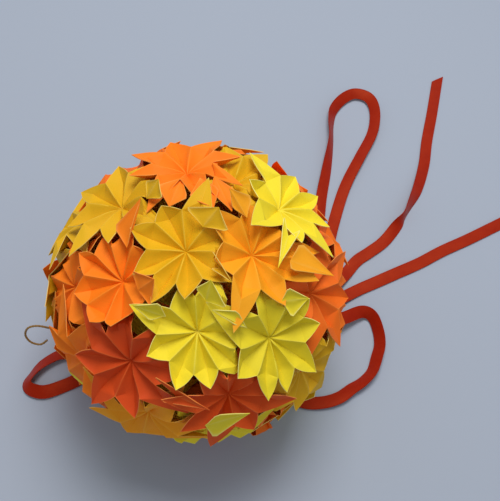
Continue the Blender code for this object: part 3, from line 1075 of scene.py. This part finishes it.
def flowerSheet(name, flower):
    chance = random.Random(name)
    petals = petalPlan(name, flower, chance)
    across, along = tangents(flower["axis"])
    frameOf = np.array((across, along, flower["axis"]))
    mesh = bmesh.new()
    rim = mesh.verts.layers.float.new("rim")
    crease = mesh.verts.layers.float.new("fold")
    sheetTone = mesh.verts.layers.float.new("tone")
    # The sheet's tone; the deep values listed for shaded sheets are painted shade.
    tone = tonesAndPaintedShade.get(name, chance.uniform(0.0, vary["tone"]))
    others = [flowers[other]["axis"] for other in flowers if other != name]
    notches = []
    for k, petal in enumerate(petals):
        after = petals[(k + 1) % len(petals)]
        step = (petal["turn"] - after["turn"]) % math.tau
        turn = petal["turn"] - step / 2
        outward = math.cos(turn) * across + math.sin(turn) * along
        low = flower["axis"][2] < underside["below"]
        reach = (underside if low else fold)["notchReach"]
        reach *= 1 + chance.uniform(-vary["notchReach"], vary["notchReach"])
        if not low:
            room = roomToward(outward, fold["notchHeight"], flower["axis"], others)
            reach = min(reach, room * fold["roomShare"])
        height = fold["notchHeight"] + chance.uniform(-vary["notchHeight"], vary["notchHeight"])
        notches.append((turn, flowerPoint(turn, reach, height)))
    for k, petal in enumerate(petals):
        for side in (0, 1):
            notchTurn, notch = notches[k - side]
            grid = halfPetal(petal, notch, notchTurn)
            lastRow, lastColumn = len(grid) - 1, len(fold["columns"]) - 1
            made = []
            for i, line in enumerate(grid):
                row = []
                for j, spot in enumerate(line):
                    place = ballCentre + ballRadius * (spot @ frameOf)
                    place[2] = max(place[2], fold["floorClearance"])
                    vert = mesh.verts.new(place)
                    outer = i >= lastRow - fold["outerRows"]
                    vert[rim] = 1.0 if (outer and j == lastColumn) or i == lastRow else 0.0
                    vert[sheetTone] = tone
                    vert[crease] = 1.0 if j == 0 or (j == lastColumn and not outer) else 0.0
                    row.append(vert)
                made.append(row)
            fillGrid(mesh, made, side == 0)
    bmesh.ops.remove_doubles(mesh, verts=mesh.verts[:], dist=fold["weld"])
    cover = coverOver(name)
    if cover:
        tuckUnder(mesh, cover)
    curled = curls.get(name, ())
    for corners in curled:
        addCurl(mesh, (rim, crease, sheetTone), tone, corners)
    if curled:
        bmesh.ops.remove_doubles(mesh, verts=mesh.verts[:], dist=fold["weld"])
    mesh.verts.index_update()
    faces = [[vert.index for vert in face.verts] for face in mesh.faces]
    foldedSheets[name] = ([vert.co.copy() for vert in mesh.verts], faces)
    mesh.normal_update()
    facing = sum(face.normal.dot(Vector(flower["axis"])) * face.calc_area() for face in mesh.faces)
    if facing < 0:
        bmesh.ops.reverse_faces(mesh, faces=mesh.faces[:])
    data = bpy.data.meshes.new(name + "_sheet")
    mesh.to_mesh(data)
    mesh.free()
    return data


sheetFinish = {
    "thickness": 0.00024,
    "buckle": 0.0006,
    "buckleScale": 75.0,
    "buckleDetail": 1.0,
    "ripple": 0.00018,
    "rippleScale": 330.0,
    "rippleDetail": 2.0,
    "rippleApart": 9.0,
    "swing": 2.0,
    "seedStep": 3.7,
    "weld": 0.000004,
    "sharpAngle": 24.0,
}


def paperFinishTree():
    # Gives a folded sheet its slight buckling and its thickness.
    tree, given, result = newGroup(
        "paperFinish",
        "GeometryNodeTree",
        (
            ("Geometry", "NodeSocketGeometry", None),
            ("Thickness", "NodeSocketFloat", sheetFinish["thickness"]),
            ("Buckle", "NodeSocketFloat", sheetFinish["buckle"]),
            ("Ripple", "NodeSocketFloat", sheetFinish["ripple"]),
            ("Seed", "NodeSocketFloat", 0.0),
            ("Material", "NodeSocketMaterial", None),
        ),
        (("Geometry", "NodeSocketGeometry"),),
    )
    spot = addNode(tree, "GeometryNodeInputPosition").outputs[0]
    facing = addNode(tree, "GeometryNodeInputNormal").outputs[0]

    def waves(kind, apart):
        seed = mathNode(tree, "ADD", given.outputs["Seed"], apart)
        scale, detail = sheetFinish[kind + "Scale"], sheetFinish[kind + "Detail"]
        values = {"Vector": spot, "Scale": scale, "Detail": detail, "W": seed}
        noise = addNode(tree, "ShaderNodeTexNoise", values, noise_dimensions="4D")
        size = given.outputs[kind.capitalize()]
        return mathNode(tree, "MULTIPLY", mathNode(tree, "SUBTRACT", noise.outputs[0], 0.5), size)

    amount = mathNode(tree, "ADD", waves("buckle", 0.0), waves("ripple", sheetFinish["rippleApart"]))
    swing = mathNode(tree, "MULTIPLY", amount, sheetFinish["swing"])
    move = addNode(tree, "ShaderNodeVectorMath", {0: facing, "Scale": swing}, operation="SCALE")
    bend = {"Geometry": given.outputs["Geometry"], "Offset": move.outputs[0]}
    bent = addNode(tree, "GeometryNodeSetPosition", bend)
    thicken = {"Mesh": bent.outputs[0], "Offset Scale": given.outputs["Thickness"], "Individual": False}
    raised = addNode(tree, "GeometryNodeExtrudeMesh", thicken, mode="FACES")
    under = addNode(tree, "GeometryNodeFlipFaces", {"Mesh": bent.outputs[0]})
    both = addNode(tree, "GeometryNodeJoinGeometry")
    tree.links.new(under.outputs[0], both.inputs[0])
    tree.links.new(raised.outputs[0], both.inputs[0])
    weld = {"Geometry": both.outputs[0], "Distance": sheetFinish["weld"]}
    finishTree(tree, addNode(tree, "GeometryNodeMergeByDistance", weld).outputs[0], given, result)
    return tree


paperFinish = paperFinishTree()


def makeFlowers():
    topFirst = sorted(flowers, key=lambda name: -layerOf[name])
    for number, name in enumerate(topFirst):
        sheet = addObject(name + "_sheet", flowerSheet(name, flowers[name]))
        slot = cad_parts[name].material_slots[0].material.name.split(".")[0]
        modifier = sheet.modifiers.new("finish", "NODES")
        modifier.node_group = paperFinish
        giveInputs(
            modifier,
            {
                "Thickness": sheetFinish["thickness"],
                "Buckle": sheetFinish["buckle"],
                "Ripple": sheetFinish["ripple"],
                "Seed": number * sheetFinish["seedStep"],
                "Material": paperMaterials[slot],
            },
        )
        made = plainMesh(sheet, name + "_folded")
        made.data.shade_smooth()
        made.data.set_sharp_from_angle(angle=math.radians(sheetFinish["sharpAngle"]))
        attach(made, "root")
        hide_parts(name)


makeFlowers()
print("flowers folded")

# Floor and light: an even pale surface, one soft lamp high up behind the ball, and an even sky.
studio = {
    "floorColour": (0.40, 0.455, 0.55),
    "floorSize": 3.0,
    "floorRoughness": 0.9,
    "floorSpecular": 0.1,
    "lampPlace": (0.06, 0.26, 0.90),
    "lampAim": (0.0, 0.0, 0.05),
    "lampSize": 0.42,
    "lampEnergy": 5.6,
    "lampColour": (1.0, 0.97, 0.93),
    "skyColour": (0.93, 0.95, 1.0),
    "skyStrength": 0.40,
}


def makeStudio():
    material, _, shader = newMaterial("floor_pale")
    shader.inputs["Base Color"].default_value = (*studio["floorColour"], 1)
    shader.inputs["Roughness"].default_value = studio["floorRoughness"]
    shader.inputs["Specular IOR Level"].default_value = studio["floorSpecular"]
    mesh = bmesh.new()
    bmesh.ops.create_grid(mesh, x_segments=2, y_segments=2, size=studio["floorSize"] / 2)
    floor = meshObject("floor", mesh, material)
    lampData = bpy.data.lights.new("softLamp", "AREA")
    lampData.size = studio["lampSize"]
    lampData.energy = studio["lampEnergy"]
    lampData.color = studio["lampColour"]
    lamp = addObject("softLamp", lampData)
    place = Vector(studio["lampPlace"])
    aim = Vector(studio["lampAim"]) - place
    lamp.matrix_world = Matrix.Translation(place) @ aim.to_track_quat("-Z", "Y").to_matrix().to_4x4()
    world = bpy.data.worlds.new("sky")
    world.use_nodes = True
    backdrop = world.node_tree.nodes["Background"]
    backdrop.inputs["Color"].default_value = (*studio["skyColour"], 1)
    backdrop.inputs["Strength"].default_value = studio["skyStrength"]
    bpy.context.scene.world = world
    bpy.context.scene.view_settings.view_transform = "Standard"


makeStudio()
print("floor and lights set")
